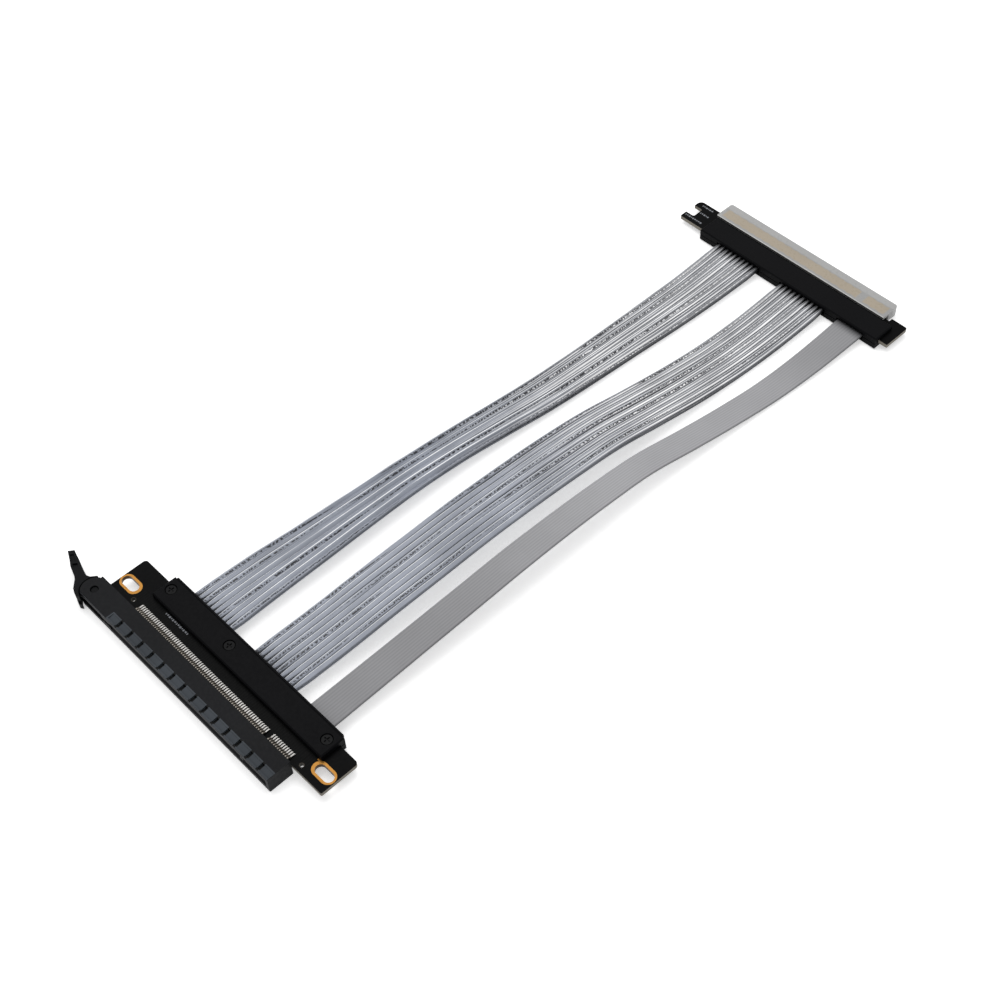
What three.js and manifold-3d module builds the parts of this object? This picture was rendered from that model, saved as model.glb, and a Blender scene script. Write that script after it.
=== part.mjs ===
// GPU riser cable, lying flat on a table: a card socket on its small board, two groups of
// shielded strip cables, one fine flat ribbon, and a plug board with its finger cap.
// Millimetres, +Z up, X from the socket to the plug, Y along the slot (latch end at +Y).
import * as THREE from "three";
import { mergeVertices } from "three/addons/utils/BufferGeometryUtils.js";
import Module from "manifold-3d";

// Driving dimensions. X is counted from the mouth of the slot, Y from the middle of its contacts.
const GAP = 0.3; // clearance between neighbouring pieces
const BOARD_T = 1.6; // both boards

// Socket end
const SLOT_T = 7.5; // slot housing, across the card
const SLOT_MID = SLOT_T / 2; // height of the card's middle plane
const SLOT_DEPTH = 9.7; // mouth to base
const SLOT_HALF = 44.25; // slot body, half its length
const EAR_END = 60.0; // end of the latch ear
const EAR_PLATE = 1.9; // thickness of each ear plate
const CARD_GAP = 1.9; // width of the card slot
const CONTACTS = 82; // in each row
const PITCH = 1.0;
const ROW_START = 41.5; // first contact, at the latch end
const KEY_Y = -30.0; // middle of the key between contacts
const KEY_W = 1.8;
const WINDOWS = 15; // sloped panels beside the mouth
const WINDOW_PITCH = 6.0;
const WINDOW_FIRST = 42.3;
const PIVOT = [4.4, 57.6]; // latch axis
const BOARD_X = [SLOT_DEPTH + GAP, SLOT_DEPTH + GAP + 15.8];
const BOARD_Y = [-58.7, 57.4];
const HOLE_X = BOARD_X[0] + 5.6; // plated mounting slots
const HOLE_Y = [52.65, -53.75];
const HOLE_W = 4.0;
const HOLE_L = 8.0;
const PEG_X = BOARD_X[0] + 2.3;
const PEG_Y = 46.25;
const COVER_X = [BOARD_X[0] + 7.8, BOARD_X[0] + 17.9];
const COVER_Y = [-49.6, 42.2];
const COVER_HALF = 3.35; // half the thickness of the closed cover
const SCREW_X = COVER_X[0] + 5.7;
const SCREW_Y = [38.7, 5.7, -45.9];

// Cables: near and far edge in Y at the socket and at the plug
const FREE = 262.6; // between the two covers
const PLUG_X = COVER_X[1] + FREE; // front face of the plug's cover
const STRIP_T = 0.9;
const RIBBON_T = 1.1;
const LAYER = 0.6; // each layer is this far from the middle of its group
const CABLES = [
  { name: "strip_group_1", socket: [11.4, 33.8], plug: [0.4, 22.6], layers: 2 },
  { name: "strip_group_2", socket: [-23.0, 0.0], plug: [-33.4, -10.8], layers: 2 },
  { name: "flat_ribbon", socket: [-42.4, -30.2], plug: [-52.6, -40.0], layers: 1 },
];
// Stations along X, and for each cable its middle in Y, its height above the table and its width
// there: the strips of the first group bunch together half way.
const STATIONS = [52, 73, 94, 116, 138, 159, 180, 202, 224, 245, 266];
const ROUTES = {
  strip_group_1: [
    [21.6, 4.7, 20.6], [20.6, 5.1, 18.6], [20.0, 5.2, 16.8], [19.5, 5.0, 15.6], [18.7, 4.0, 15.3], [17.2, 3.0, 16.0],
    [15.4, 2.2, 16.9], [14.2, 1.75, 17.6], [13.3, 1.55, 18.6], [12.4, 1.5, 19.8], [11.7, 1.9, 20.8],
  ],
  strip_group_2: [
    [-13.0, 6.0, 22.8], [-13.9, 8.1, 22.8], [-14.6, 9.4, 22.8], [-15.1, 10.3, 22.8], [-15.8, 10.4, 22.8], [-16.3, 9.6, 22.8],
    [-16.9, 8.0, 22.4], [-18.2, 4.9, 22.2], [-19.8, 2.6, 22.2], [-21.1, 1.5, 22.0], [-22.0, 1.9, 22.2],
  ],
  flat_ribbon: [
    [-37.0, 5.6, 11.9], [-37.5, 7.1, 11.7], [-37.8, 8.2, 11.6], [-38.0, 9.2, 11.5], [-38.2, 9.2, 11.2], [-38.5, 8.5, 11.0],
    [-39.1, 7.1, 10.8], [-41.0, 4.3, 10.8], [-43.0, 2.2, 10.9], [-44.7, 1.1, 11.2], [-45.9, 1.7, 11.8],
  ],
};

// Plug end. X is counted from the front face of its cover.
const PLUG_T = 5.6; // closed cover
const PLUG_MID = PLUG_T / 2;
const PLUG_COVER_X = [0, 10.4];
const PLUG_COVER_Y = [-58.95, 32.0];
const PLUG_BOARD_X = [2.3, 15.1];
const PLUG_BOARD_Y = [-62.9, 45.1];
const TONGUE_Y = [-52.6, 32.6];
const TONGUE_END = 20.5;
const TONGUE_KEY = [-40.95, -39.05];
const FORK_Y = 40.9; // bottom of the fork's notch
const FORK_X = [5.85, 11.25];
const FORK_BACK_Y = 34.2;
const EAR_BACK_Y = -55.4;
const CAP_X = [11.8, 21.3];
const CAP_Y = [-53.4, 33.4];
const CAP_T = 4.4;
const PLUG_SCREW_X = 5.6;
const PLUG_SCREW_Y = [28.7, -5.2, -56.0];

const wasm = await Module();
wasm.setup();

// Solids: made as three.js geometries, joined and cut as closed bodies.
function solid(geometry) {
  const bare = new THREE.BufferGeometry();
  bare.setAttribute("position", geometry.getAttribute("position").clone());
  if (geometry.index) bare.setIndex(geometry.index.clone());
  const merged = mergeVertices(bare, 1e-4);
  return new wasm.Manifold(
    new wasm.Mesh({
      numProp: 3,
      vertProperties: new Float32Array(merged.attributes.position.array),
      triVerts: new Uint32Array(merged.index.array),
    }),
  );
}
const join = (...parts) => parts.reduce((a, b) => a.add(b));
const cut = (body, ...parts) => parts.reduce((a, b) => a.subtract(b), body);

function box(x0, x1, y0, y1, z0, z1) {
  const g = new THREE.BoxGeometry(x1 - x0, y1 - y0, z1 - z0);
  g.translate((x0 + x1) / 2, (y0 + y1) / 2, (z0 + z1) / 2);
  return solid(g);
}
// A closed outline in X and Y, raised from z0 to z1.
function plate(points, z0, z1, curveSegments = 8) {
  const shape = points instanceof THREE.Shape ? points : new THREE.Shape(points.map((p) => new THREE.Vector2(...p)));
  const g = new THREE.ExtrudeGeometry(shape, { depth: z1 - z0, bevelEnabled: false, curveSegments });
  g.translate(0, 0, z0);
  return solid(g);
}
// An outline in X and Z, carried along Y.
function barY(points, y0, y1) {
  const shape = new THREE.Shape(points.map((p) => new THREE.Vector2(p[0], p[1])));
  const g = new THREE.ExtrudeGeometry(shape, { depth: y1 - y0, bevelEnabled: false });
  g.rotateX(Math.PI / 2);
  g.translate(0, y1, 0);
  return solid(g);
}
// An outline in Y and Z, carried along X.
function barX(points, x0, x1) {
  const shape = new THREE.Shape(points.map((p) => new THREE.Vector2(p[0], p[1])));
  const g = new THREE.ExtrudeGeometry(shape, { depth: x1 - x0, bevelEnabled: false });
  g.rotateX(Math.PI / 2);
  g.rotateZ(Math.PI / 2);
  g.translate(x0, 0, 0);
  return solid(g);
}
function rod(x, y, z0, z1, r0, r1 = r0, sides = 24) {
  const g = new THREE.CylinderGeometry(r1, r0, z1 - z0, sides);
  g.rotateX(Math.PI / 2);
  g.translate(x, y, (z0 + z1) / 2);
  return solid(g);
}
function roundedOutline(x0, x1, y0, y1, r) {
  const s = new THREE.Shape();
  const [a, b, c, d] = Array.isArray(r) ? r : [r, r, r, r]; // radii at (x0,y0) (x1,y0) (x1,y1) (x0,y1)
  s.moveTo(x0 + a, y0);
  s.lineTo(x1 - b, y0);
  s.absarc(x1 - b, y0 + b, b, -Math.PI / 2, 0);
  s.lineTo(x1, y1 - c);
  s.absarc(x1 - c, y1 - c, c, 0, Math.PI / 2);
  s.lineTo(x0 + d, y1);
  s.absarc(x0 + d, y1 - d, d, Math.PI / 2, Math.PI);
  s.lineTo(x0, y0 + a);
  s.absarc(x0 + a, y0 + a, a, Math.PI, Math.PI * 1.5);
  return s;
}

const root = new THREE.Group();
root.name = "gpu_riser_cable";
const paints = {
  housing: new THREE.MeshStandardMaterial({ color: 0x2b2b2e, roughness: 0.55 }),
  latch: new THREE.MeshStandardMaterial({ color: 0x3a3b3e, roughness: 0.5 }),
  tin: new THREE.MeshStandardMaterial({ color: 0xcfcfcf, metalness: 0.9, roughness: 0.35 }),
  board: new THREE.MeshStandardMaterial({ color: 0x17191c, roughness: 0.5 }),
  cover: new THREE.MeshStandardMaterial({ color: 0x232326, roughness: 0.6 }),
  screw: new THREE.MeshStandardMaterial({ color: 0x18181a, metalness: 0.6, roughness: 0.4 }),
  foil: new THREE.MeshStandardMaterial({ color: 0xc9cbd0, metalness: 0.5, roughness: 0.4 }),
  ribbon: new THREE.MeshStandardMaterial({ color: 0xb9bac0, roughness: 0.6 }),
  cap: new THREE.MeshStandardMaterial({ color: 0xf1f0ea, roughness: 0.35 }),
};
function add(name, body, paint) {
  const made = body.isBufferGeometry ? body : geometryOf(body);
  const mesh = new THREE.Mesh(made, paints[paint]);
  mesh.name = name;
  root.add(mesh);
}
function geometryOf(m) {
  const mesh = m.getMesh();
  const v = new Float32Array(mesh.numVert * 3);
  for (let i = 0; i < mesh.numVert; i++) {
    v.set(mesh.vertProperties.subarray(i * mesh.numProp, i * mesh.numProp + 3), i * 3);
  }
  const g = new THREE.BufferGeometry();
  g.setAttribute("position", new THREE.BufferAttribute(v, 3));
  g.setIndex(new THREE.BufferAttribute(new Uint32Array(mesh.triVerts), 1));
  return g;
}

// Slot housing: on its side, mouth towards -X, with the key, the sloped panels and the latch ear.
{
  const c = 0.35;
  const profile = [
    [0, c],
    [c, 0],
    [SLOT_DEPTH, 0],
    [SLOT_DEPTH, SLOT_T],
    [c, SLOT_T],
    [0, SLOT_T - c],
  ];
  // the ear is round about the latch axis, with a square corner at the board
  const ear = rod(PIVOT[0], PIVOT[1], -1, SLOT_T + 1, 5.1, 5.1, 40).intersect(barY(profile, 51, 66));
  let body = join(barY(profile, -SLOT_HALF, 56.5), ear, box(6, SLOT_DEPTH, 54, EAR_END, 0, SLOT_T));
  const mid = SLOT_MID;
  const half = CARD_GAP / 2;
  const deep = SLOT_DEPTH - 1.4; // bottom of the card slot
  body = cut(
    body,
    box(-1, deep, -42.9, 43.3, mid - half, mid + half), // card slot
    box(1.3, deep, -42.9, 43.3, mid - 1.9, mid + 1.9), // room for the spring contacts
    box(deep - 0.6, SLOT_DEPTH + 1, -43.4, 43.4, 4.9, 6.3), // contact rows leave at the base
    box(deep - 0.6, SLOT_DEPTH + 1, -43.4, 43.4, SLOT_T - 6.3, SLOT_T - 4.9),
    box(-1, SLOT_DEPTH + 1, 48.2, 70, EAR_PLATE, SLOT_T - EAR_PLATE), // the latch swings here
    box(-1, 4, 42, 48.7, mid - half, mid + half),
    rod(PIVOT[0], PIVOT[1], -1, SLOT_T + 1, 1.55, 1.55, 24),
  );
  body = join(body, box(0.2, deep - 0.6, KEY_Y - KEY_W / 2, KEY_Y + KEY_W / 2, mid - 2.1, mid + 2.1));
  // lead-in slopes of the mouth
  for (const s of [1, -1]) {
    const at = (h) => mid + s * h;
    const wedge = [
      [-0.5, at(half - 0.2)],
      [0.9, at(half - 0.2)],
      [0.9, at(half)],
      [-0.5, at(half + 1.35)],
    ];
    if (s < 0) wedge.reverse();
    body = cut(body, barY(wedge, -42.9, 43.3));
  }
  // fifteen sloped panels on each face, and the dark grooves between them
  for (const top of [true, false]) {
    for (let i = 0; i < WINDOWS; i++) {
      const y = WINDOW_FIRST - i * WINDOW_PITCH;
      const z = (h) => (top ? SLOT_T - h : h);
      const slope = [
        [0.7, z(0.55)],
        [3.1, z(0.15)],
        [3.1, z(-1)],
        [0.7, z(-1)],
      ];
      if (!top) slope.reverse();
      const y1 = Math.min(y + 2.35, SLOT_HALF - 0.05);
      const y0 = Math.max(y - 2.35, -SLOT_HALF + 0.25);
      body = cut(body, barY(slope, y0, y1));
      if (i < WINDOWS - 1) {
        const g = y - WINDOW_PITCH / 2;
        body = cut(body, top ? box(0.7, 3.1, g - 0.7, g + 0.7, SLOT_T - 1.1, SLOT_T + 1) : box(0.7, 3.1, g - 0.7, g + 0.7, -1, 1.1));
      }
    }
  }
  add("slot_housing", body, "housing");
}

// Retention latch, in its open place as photographed.
{
  const outline = [
    [-1.3, 58.7],
    [-1.9, 59.8],
    [-1.5, 61.4],
    [-0.7, 63.2],
    [0.8, 64.8],
    [2.0, 66.2],
    [2.9, 67.8],
    [3.4, 69.8],
    [4.2, 72.1],
    [5.5, 74.5],
    [7.3, 78.3],
    [9.3, 76.9],
    [8.6, 74.4],
    [8.0, 72.0],
    [7.1, 69.2],
    [6.3, 66.4],
    [5.9, 64.6],
    [6.5, 63.2],
    [8.6, 61.6],
    [7.6, 59.6],
    [2.5, 58.6],
  ].reverse();
  let head = plate(outline, 0.05, SLOT_T - 0.05);
  head = cut(head, rod(PIVOT[0], PIVOT[1], -1, SLOT_T + 1, 5.55, 5.55, 64));
  // the nose is split to straddle the card, the thumb tab is hollowed between two cross ribs
  head = cut(head, box(-3, 1.2, 56, 63.2, SLOT_MID - 1.15, SLOT_MID + 1.15));
  head = cut(
    head,
    plate([[4.5, 71.0], [5.9, 69.6], [6.7, 71.3], [5.3, 72.4]].reverse(), SLOT_T - 0.65, SLOT_T + 1),
    plate([[5.6, 73.4], [6.9, 72.3], [8.0, 75.6], [7.0, 76.4]].reverse(), SLOT_T - 0.5, SLOT_T + 1),
  );
  // body between the ear plates, with a stub pin each way
  const z0 = EAR_PLATE + GAP;
  const z1 = SLOT_T - EAR_PLATE - GAP;
  const neck = plate(
    [
      [1.6, 55.6],
      [4.4, 54.6],
      [7.0, 56.2],
      [7.3, 59.2],
      [6.6, 63.6],
      [5.6, 65.0],
      [2.2, 65.4],
      [0.4, 63.6],
      [-0.4, 61.0],
      [0.6, 58.0],
    ],
    z0,
    z1,
  );
  const pins = rod(PIVOT[0], PIVOT[1], 0.5, SLOT_T - 0.5, 1.2, 1.2, 24);
  const slit = box(-3, 1.2, 56, 63.2, SLOT_MID - 1.15, SLOT_MID + 1.15);
  add("card_latch", join(head, cut(neck, slit), pins), "latch");
}

// Contact rows: one carrier bar each, with a bent tail for every contact.
function tail(y, top) {
  const w = 0.25;
  const t = 0.15;
  const line = [
    [SLOT_DEPTH - 0.5, 5.6],
    [SLOT_DEPTH + 0.9, 5.6],
    [SLOT_DEPTH + 1.8, 5.0],
    [SLOT_DEPTH + 3.4, 5.0],
  ];
  const g = new THREE.BufferGeometry();
  const v = [];
  const idx = [];
  line.forEach((p, i) => {
    const a = line[Math.max(i - 1, 0)];
    const b = line[Math.min(i + 1, line.length - 1)];
    const dx = b[0] - a[0];
    const dz = b[1] - a[1];
    const n = Math.hypot(dx, dz);
    const nx = (-dz / n) * t;
    const nz = (dx / n) * t;
    for (const [sy, sn] of [[-1, -1], [1, -1], [1, 1], [-1, 1]]) {
      const z = p[1] + sn * nz;
      v.push(p[0] + sn * nx, y + sy * w, top ? z : SLOT_T - z);
    }
  });
  const quad = (a, b, c, d) => idx.push(a, b, c, a, c, d);
  for (let i = 0; i < line.length - 1; i++) {
    for (let k = 0; k < 4; k++) {
      const a = i * 4 + k;
      const b = i * 4 + ((k + 1) % 4);
      quad(a, a + 4, b + 4, b);
    }
  }
  const e = (line.length - 1) * 4;
  quad(0, 1, 2, 3);
  quad(e + 3, e + 2, e + 1, e);
  if (top) for (let i = 0; i < idx.length; i += 3) [idx[i + 1], idx[i + 2]] = [idx[i + 2], idx[i + 1]];
  g.setAttribute("position", new THREE.BufferAttribute(new Float32Array(v), 3));
  g.setIndex(idx);
  return solid(g);
}
for (const top of [true, false]) {
  const z = top ? [5.2, 6.0] : [SLOT_T - 6.0, SLOT_T - 5.2];
  const bar = box(SLOT_DEPTH - 1.3, SLOT_DEPTH - 0.4, -43.0, 43.0, z[0], z[1]);
  const tails = [];
  for (let i = 0; i < CONTACTS; i++) {
    const step = i < 71 ? i : i + 2; // the key takes the place of two pitches
    tails.push(tail(ROW_START - step * PITCH, top));
  }
  add(top ? "contact_row_upper" : "contact_row_lower", join(bar, ...tails), "tin");
}

// Socket board, its plated slots and peg holes.
{
  const z0 = SLOT_MID - BOARD_T / 2;
  const z1 = SLOT_MID + BOARD_T / 2;
  let body = plate(roundedOutline(...BOARD_X, ...BOARD_Y, [0.6, 1.4, 1.4, 0.6]), z0, z1, 5);
  for (const y of HOLE_Y) {
    const r = HOLE_W / 2;
    body = cut(body, plate(roundedOutline(HOLE_X - r, HOLE_X + r, y - HOLE_L / 2, y + HOLE_L / 2, r - 0.05), z0 - 1, z1 + 1, 8));
  }
  for (const s of [1, -1]) body = cut(body, rod(PEG_X, s * PEG_Y, z0 - 1, z1 + 1, 0.8, 0.8, 16));
  for (const y of SCREW_Y) body = cut(body, rod(SCREW_X, y, z0 - 1, z1 + 1, 1.5, 1.5, 20));
  add("socket_board", body, "board");
}

// Covers over the cable joints: an upper and a lower shell, meeting in the board's plane.
function shell(o, top) {
  const { x, y, mid, half, exit, board, windows, screws, boardY, countersink } = o;
  const c = 0.45;
  const zc = (h) => (top ? mid + h : mid - h);
  const order = (pts) => (top ? pts : pts.slice().reverse());
  const outer = barY(
    order([
      [x[0], zc(GAP / 2)],
      [x[1], zc(GAP / 2)],
      [x[1], zc(half - c)],
      [x[1] - c, zc(half)],
      [x[0] + c, zc(half)],
      [x[0], zc(half - c)],
    ]),
    y[0],
    y[1],
  );
  const ends = barX(
    order([
      [y[0], zc(-1)],
      [y[1], zc(-1)],
      [y[1], zc(half - c)],
      [y[1] - c, zc(half)],
      [y[0] + c, zc(half)],
      [y[0], zc(half - c)],
    ]),
    x[0] - 1,
    x[1] + 1,
  );
  let body = outer.intersect(ends);
  const lay = (a, b) => (top ? [mid + a, mid + b] : [mid - b, mid - a]);
  body = cut(body, box(...board, boardY[0], boardY[1], ...lay(-1, BOARD_T / 2 + GAP)));
  for (const [y0, y1] of windows) {
    body = cut(body, box(...exit, y0 - 0.35, y1 + 0.35, ...lay(-1, o.window)));
  }
  for (const s of screws) {
    body = cut(body, rod(s[0], s[1], ...lay(-2, half + 1), 1.15, 1.15, 20));
    if (countersink) body = cut(body, rod(s[0], s[1], ...lay(half - 1.5, half + 1), 2.2, 2.2, 28));
  }
  return body;
}
{
  const o = {
    x: COVER_X,
    y: COVER_Y,
    mid: SLOT_MID,
    half: COVER_HALF,
    board: [COVER_X[0] - 1, BOARD_X[1] + GAP],
    boardY: [COVER_Y[0] - 1, COVER_Y[1] + 1],
    exit: [BOARD_X[1] - 5.5, COVER_X[1] + 1],
    window: 1.5,
    windows: CABLES.map((k) => k.socket),
    screws: [],
  };
  const top = cut(
    shell(o, true),
    ...SCREW_Y.map((y) => rod(SCREW_X, y, 3, 8, 1.3, 1.3, 20)),
    ...SCREW_Y.map((y) => rod(SCREW_X, y, SLOT_MID + COVER_HALF - 1.3, 9, 2.25, 2.25, 28)),
  );
  const bottom = cut(shell(o, false), ...SCREW_Y.map((y) => rod(SCREW_X, y, 1.2, 5, 1.3, 1.3, 20)));
  add("socket_cover_upper", top, "cover");
  add("socket_cover_lower", bottom, "cover");
}

// Cross-recess screws. The head sits at z, the shank runs away from it.
function screw(x, y, z, up, length, headR, headT) {
  const s = up ? 1 : -1;
  const span = (a, b) => (up ? [z - b, z - a] : [z + a, z + b]);
  let body = join(rod(x, y, ...span(0, headT), headR, headR, 28), rod(x, y, ...span(headT - 0.2, length), 1.0, 1.0, 16));
  const r = headR * 0.62;
  body = cut(
    body,
    box(x - r, x + r, y - 0.28, y + 0.28, ...span(-1, headT * 0.55)),
    box(x - 0.28, x + 0.28, y - r, y + r, ...span(-1, headT * 0.55)),
  );
  return body;
}
SCREW_Y.forEach((y, i) => {
  add("socket_screw_" + (i + 1), screw(SCREW_X, y, SLOT_MID + COVER_HALF - 0.25, true, 5.2, 1.9, 0.8), "screw");
});

// Cables. Each layer is a plain flat band along its group's middle line.
const CABLE_X = [COVER_X[1] - 1.4, PLUG_X + 1.0];
function middleLine(kind) {
  const middle = ([a, b]) => (a + b) / 2;
  const points = [
    new THREE.Vector3(CABLE_X[0], middle(kind.socket), SLOT_MID),
    ...STATIONS.map((x, i) => new THREE.Vector3(x, ROUTES[kind.name][i][0], ROUTES[kind.name][i][1])),
    new THREE.Vector3(CABLE_X[1], middle(kind.plug), PLUG_MID),
  ];
  return new THREE.CatmullRomCurve3(points, false, "centripetal");
}
function widthAt(kind, x) {
  const xs = [CABLE_X[0], ...STATIONS, CABLE_X[1]];
  const ws = [kind.socket[1] - kind.socket[0], ...ROUTES[kind.name].map((r) => r[2]), kind.plug[1] - kind.plug[0]];
  let i = 0;
  while (i < xs.length - 2 && x > xs[i + 1]) i += 1;
  const t = Math.min(Math.max((x - xs[i]) / (xs[i + 1] - xs[i]), 0), 1);
  return ws[i] + (ws[i + 1] - ws[i]) * t;
}
function band(curve, kind, thickness, dz, steps) {
  const t = thickness / 2;
  const k = 0.25;
  const n = 8;
  const v = [];
  const idx = [];
  for (let i = 0; i <= steps; i++) {
    const p = curve.getPoint(i / steps);
    const d = curve.getTangent(i / steps);
    if (i === 0 || i === steps) d.set(1, 0, 0);
    const side = new THREE.Vector3(0, 1, 0); // bands stay level across their width
    const up = new THREE.Vector3().crossVectors(d, side).normalize();
    const w = widthAt(kind, p.x) / 2;
    const ring = [
      [-w, -t + k], [-w + k, -t], [w - k, -t], [w, -t + k],
      [w, t - k], [w - k, t], [-w + k, t], [-w, t - k],
    ];
    for (const [a, b] of ring) {
      v.push(p.x + up.x * (b + dz), p.y + side.y * a, p.z + up.z * (b + dz));
    }
  }
  for (let i = 0; i < steps; i++) {
    for (let j = 0; j < n; j++) {
      const a = i * n + j;
      const b = i * n + ((j + 1) % n);
      idx.push(a, b + n, a + n, a, b, b + n);
    }
  }
  const e = steps * n;
  for (let j = 1; j < n - 1; j++) {
    idx.push(0, j + 1, j);
    idx.push(e, e + j, e + j + 1);
  }
  const g = new THREE.BufferGeometry();
  g.setAttribute("position", new THREE.BufferAttribute(new Float32Array(v), 3));
  g.setIndex(idx);
  return g;
}
for (const kind of CABLES) {
  const curve = middleLine(kind);
  if (kind.layers === 2) {
    add(kind.name + "_upper", band(curve, kind, STRIP_T, LAYER, 24), "foil");
    add(kind.name + "_lower", band(curve, kind, STRIP_T, -LAYER, 24), "foil");
  } else {
    add(kind.name, band(curve, kind, RIBBON_T, 0, 24), "ribbon");
  }
}

// Plug board: strip with a fork at one end and an ear at the other, and the finger tongue.
{
  const z0 = PLUG_MID - BOARD_T / 2;
  const z1 = PLUG_MID + BOARD_T / 2;
  const X = (v) => PLUG_X + v;
  let body = plate(roundedOutline(X(PLUG_BOARD_X[0]), X(PLUG_BOARD_X[1]), ...PLUG_BOARD_Y, [0.5, 0.9, 2.2, 0.5]), z0, z1, 4);
  body = cut(
    body,
    plate(roundedOutline(X(FORK_X[0]), X(FORK_X[1]), FORK_Y, PLUG_BOARD_Y[1] + 3, [0.8, 0.8, 0.1, 0.1]), z0 - 1, z1 + 1, 4),
  );
  const tongue = plate(
    [
      [X(13.0), TONGUE_Y[0]],
      [X(TONGUE_END - 0.6), TONGUE_Y[0]],
      [X(TONGUE_END), TONGUE_Y[0] + 0.6],
      [X(TONGUE_END), TONGUE_Y[1] - 0.6],
      [X(TONGUE_END - 0.6), TONGUE_Y[1]],
      [X(13.0), TONGUE_Y[1]],
    ],
    z0,
    z1,
  );
  body = join(body, tongue);
  body = cut(body, plate(roundedOutline(X(PLUG_BOARD_X[1] - 0.4), X(TONGUE_END + 2), ...TONGUE_KEY, [0.9, 0.1, 0.1, 0.9]), z0 - 1, z1 + 1, 5));
  // the two steps beside the tongue
  body = cut(
    body,
    box(X(13.4), X(16), TONGUE_Y[1], FORK_BACK_Y, z0 - 1, z1 + 1),
    box(X(13.4), X(16), EAR_BACK_Y, TONGUE_Y[0], z0 - 1, z1 + 1),
  );
  for (const y of PLUG_SCREW_Y) body = cut(body, rod(X(PLUG_SCREW_X), y, z0 - 1, z1 + 1, 1.5, 1.5, 20));
  add("plug_board", body, "board");
}

// Plug cover, its screws put in from below.
{
  const X = (v) => PLUG_X + v;
  const o = {
    x: PLUG_COVER_X.map(X),
    y: PLUG_COVER_Y,
    mid: PLUG_MID,
    half: PLUG_T / 2,
    board: [X(PLUG_BOARD_X[0] - GAP), X(PLUG_COVER_X[1] + 1)],
    boardY: [PLUG_COVER_Y[0] - 1, PLUG_COVER_Y[1] + 1],
    exit: [X(-1), X(3.6)],
    window: 1.45,
    windows: CABLES.map((k) => k.plug),
    screws: [],
  };
  const top = cut(shell(o, true), ...PLUG_SCREW_Y.map((y) => rod(X(PLUG_SCREW_X), y, 2.4, 4.8, 1.3, 1.3, 20)));
  const bottom = cut(
    shell(o, false),
    ...PLUG_SCREW_Y.map((y) => rod(X(PLUG_SCREW_X), y, -1, 3.2, 1.3, 1.3, 20)),
    ...PLUG_SCREW_Y.map((y) => rod(X(PLUG_SCREW_X), y, -1, 1.0, 2.1, 2.1, 28)),
  );
  add("plug_cover_upper", top, "cover");
  add("plug_cover_lower", bottom, "cover");
}
PLUG_SCREW_Y.forEach((y, i) => {
  add("plug_screw_" + (i + 1), screw(PLUG_X + PLUG_SCREW_X, y, 0.2, false, 4.3, 1.8, 0.6), "screw");
});

// Finger cap: a clear sleeve slipped over the edge fingers.
{
  const X = (v) => PLUG_X + v;
  const z0 = PLUG_MID - CAP_T / 2;
  const z1 = PLUG_MID + CAP_T / 2;
  let body = plate(roundedOutline(X(CAP_X[0]), X(CAP_X[1]), ...CAP_Y, [0.4, 1.2, 1.2, 0.4]), z0, z1, 4);
  const h = BOARD_T / 2 + GAP;
  body = cut(
    body,
    box(X(CAP_X[0] - 1), X(TONGUE_END + GAP), TONGUE_Y[0] - GAP, TONGUE_Y[1] + GAP, PLUG_MID - h, PLUG_MID + h),
    box(X(CAP_X[0] - 1), X(PLUG_BOARD_X[1] + GAP), CAP_Y[0] - 1, CAP_Y[1] + 1, PLUG_MID - h, PLUG_MID + h),
  );
  add("finger_cap", body, "cap");
}

// The part's own frame: the middle of the rigid pieces on the table.
const rigid = new THREE.Box3();
for (const mesh of root.children) {
  if (/^(strip_group|flat_ribbon)/.test(mesh.name)) continue;
  mesh.geometry.computeBoundingBox();
  rigid.union(mesh.geometry.boundingBox);
}
const centre = rigid.getCenter(new THREE.Vector3());
for (const mesh of root.children) {
  mesh.geometry.translate(-centre.x, -centre.y, -rigid.min.z);
}
root.userData.centre = [centre.x, centre.y, rigid.min.z];

export default root;
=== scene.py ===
import math
import random

import bpy
from mathutils import Matrix, Vector


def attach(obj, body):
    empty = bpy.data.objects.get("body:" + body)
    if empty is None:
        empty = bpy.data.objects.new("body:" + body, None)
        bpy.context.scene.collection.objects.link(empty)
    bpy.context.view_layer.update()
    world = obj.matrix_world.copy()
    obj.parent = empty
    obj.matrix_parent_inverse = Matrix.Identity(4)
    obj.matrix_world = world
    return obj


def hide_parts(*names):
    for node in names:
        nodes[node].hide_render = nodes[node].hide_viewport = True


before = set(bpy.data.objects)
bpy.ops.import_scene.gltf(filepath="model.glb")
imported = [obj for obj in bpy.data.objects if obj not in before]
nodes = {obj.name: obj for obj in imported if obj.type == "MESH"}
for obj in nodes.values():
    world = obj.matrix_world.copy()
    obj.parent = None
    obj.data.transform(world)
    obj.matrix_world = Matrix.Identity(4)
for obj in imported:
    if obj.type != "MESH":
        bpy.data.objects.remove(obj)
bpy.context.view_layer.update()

MM = 0.001
RIGID_CENTRE = Vector((154.95, 7.7, 0.0))  # mm, the part's origin in the source's own coordinates


# Places in the source's own coordinates


def at(x, y, z):
    """A point of the source's coordinates, in mm, as a point of the frame, in metres."""
    return (Vector((x, y, z)) - RIGID_CENTRE) * MM


# Camera

LOOK_AT = (133.498, -11.890, 3.75)
AZIMUTH = math.radians(-131.310)
ELEVATION = math.radians(51.115)
DISTANCE = 596.9
ROLL = math.radians(-3.092)
LENS = 59.22


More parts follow.
